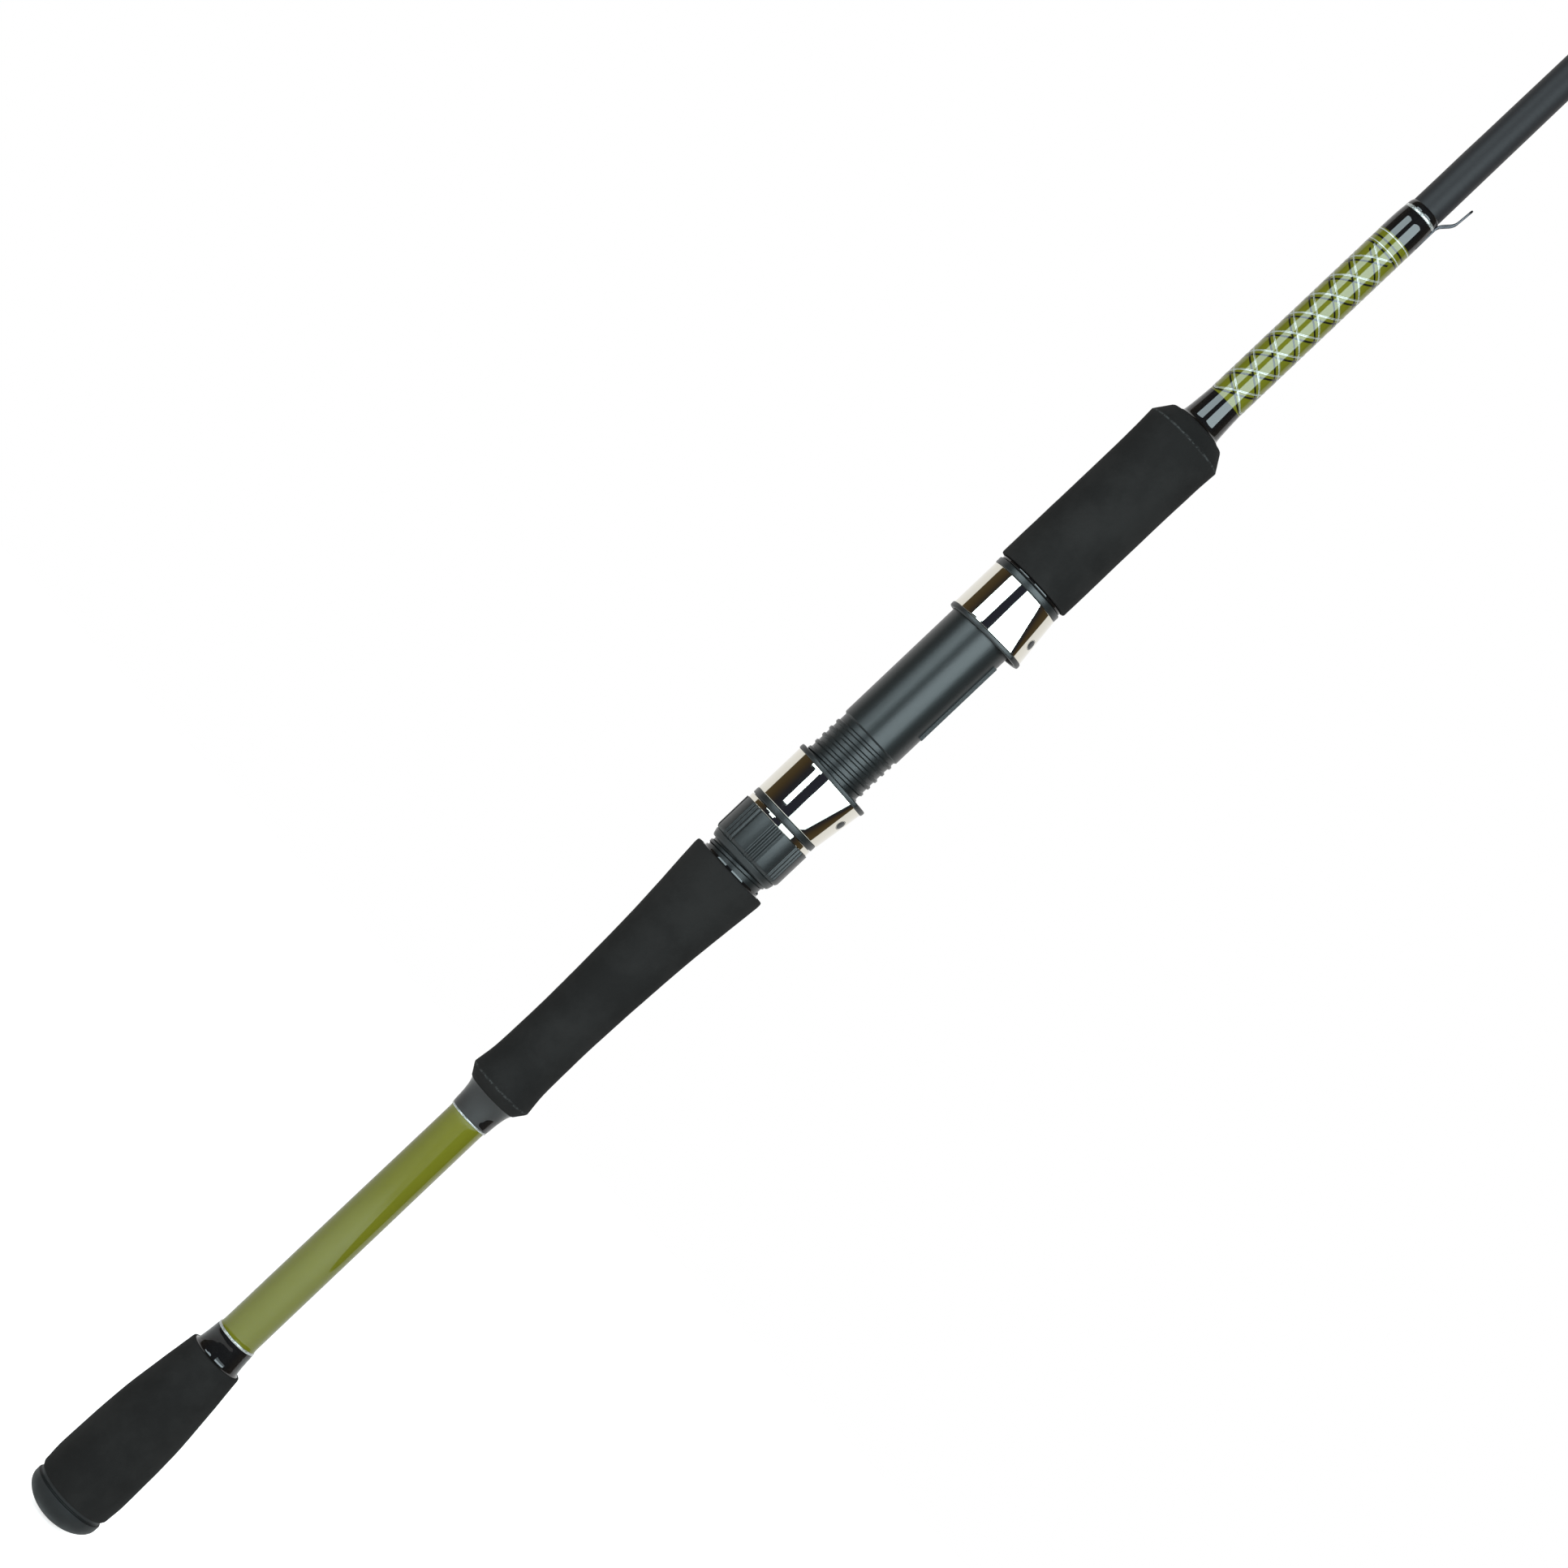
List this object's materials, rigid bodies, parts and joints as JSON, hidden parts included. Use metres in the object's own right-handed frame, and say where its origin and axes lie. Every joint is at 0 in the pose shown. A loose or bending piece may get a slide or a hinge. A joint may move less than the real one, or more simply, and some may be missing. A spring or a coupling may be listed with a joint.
{
  "type": "spinning fishing rod",
  "caption": "Two-piece spinning rod with foam grips, a screw-locking reel seat with bright hoods, a diamond-pattern thread wrap, a hook keeper and ceramic line guides; no reel is fitted.",
  "frame": {"origin": "centre of the flat end face of the butt cap, on the axis of the blank", "axes": "+Z along the blank from butt to tip; +X the side on which the reel and the line guides hang; +Y completes a right-handed frame"},
  "size_m": [0.0594, 0.0284, 2.439],
  "materials": {
    "blank_slate": "satin clear-coated carbon and glass composite",
    "cap_rubber": "satin moulded rubber",
    "eva_foam": "fine-grained closed-cell EVA foam",
    "black_gloss": "thread under glossy epoxy",
    "silver_trim": "metallic thread under glossy epoxy",
    "olive_gloss": "gloss paint",
    "olive_wrap": "thread under glossy epoxy",
    "black_thread": "thread under glossy epoxy",
    "silver_thread": "metallic thread under glossy epoxy",
    "seat_graphite": "satin graphite-filled nylon",
    "hood_liner": "satin moulded nylon",
    "arbor_foam": "rigid foam bushing",
    "bright_nickel": "polished, warm nickel tint",
    "dark_steel": "dark chromed stainless wire and sheet",
    "guide_ceramic": "polished"
  },
  "bodies": {
    "butt_section": {"butt_blank": "blank_slate", "butt_cap": "cap_rubber", "rear_grip": "eva_foam", "middle_grip": "eva_foam", "fore_grip": "eva_foam", "rear_trim_wrap": "black_gloss", "front_trim_wrap": "black_gloss", "lower_black_wrap": "black_gloss", "upper_black_wrap": "black_gloss", "end_black_wrap": "black_gloss", "rear_silver_ring": "silver_trim", "front_silver_ring": "silver_trim", "wrap_silver_ring": "silver_trim", "painted_section": "olive_gloss", "green_underwrap": "olive_wrap", "black_diamond_threads": "black_thread", "silver_diamond_threads": "silver_thread", "reel_seat_body": "seat_graphite", "fixed_hood_ring": "seat_graphite", "fixed_hood_liner": "hood_liner", "seat_end_washer": "black_gloss", "seat_arbors": "arbor_foam", "fixed_hood_cover": "bright_nickel", "hook_keeper": "dark_steel", "guide_1_frame": "dark_steel", "guide_1_ring": "guide_ceramic", "guide_1_wraps": "black_gloss"},
    "moving_hood": {"moving_hood_cover": "bright_nickel", "moving_hood_liner": "hood_liner", "moving_hood_collar": "seat_graphite"},
    "lock_nut": {"lock_nut": "seat_graphite", "nut_trim_ring": "bright_nickel"},
    "tip_section": {"tip_blank": "blank_slate", "ferrule_wrap": "black_gloss", "ferrule_silver_band": "silver_trim", "tip_top_frame": "dark_steel", "tip_top_ring": "guide_ceramic", "tip_top_wrap": "black_gloss", "guide_2_frame": "dark_steel", "guide_2_ring": "guide_ceramic", "guide_2_wraps": "black_gloss", "guide_3_frame": "dark_steel", "guide_3_ring": "guide_ceramic", "guide_3_wraps": "black_gloss", "guide_4_frame": "dark_steel", "guide_4_ring": "guide_ceramic", "guide_4_wraps": "black_gloss", "guide_5_frame": "dark_steel", "guide_5_ring": "guide_ceramic", "guide_5_wraps": "black_gloss", "guide_6_frame": "dark_steel", "guide_6_ring": "guide_ceramic", "guide_6_wraps": "black_gloss", "guide_7_frame": "dark_steel", "guide_7_ring": "guide_ceramic", "guide_7_wraps": "black_gloss"}
  },
  "joints": [
    {"name": "nut_spin", "type": "hinge", "parent": "moving_hood", "child": "lock_nut", "pos_m": [0, 0, 0.3033], "axis": [0, 0, 1], "range_deg": [-430, 4318]},
    {"name": "hood_slide", "type": "slide", "parent": "butt_section", "child": "moving_hood", "axis": [0, 0, 1], "range_m": [-0.0036, 0.036]},
    {"name": "ferrule_pull", "type": "slide", "parent": "butt_section", "child": "tip_section", "axis": [0, 0, 1], "range_m": [0, 0.12]}
  ],
  "couplings": [
    {"joint": "hood_slide", "follows": "nut_spin", "m_per_rad": 0.00047746}
  ]
}
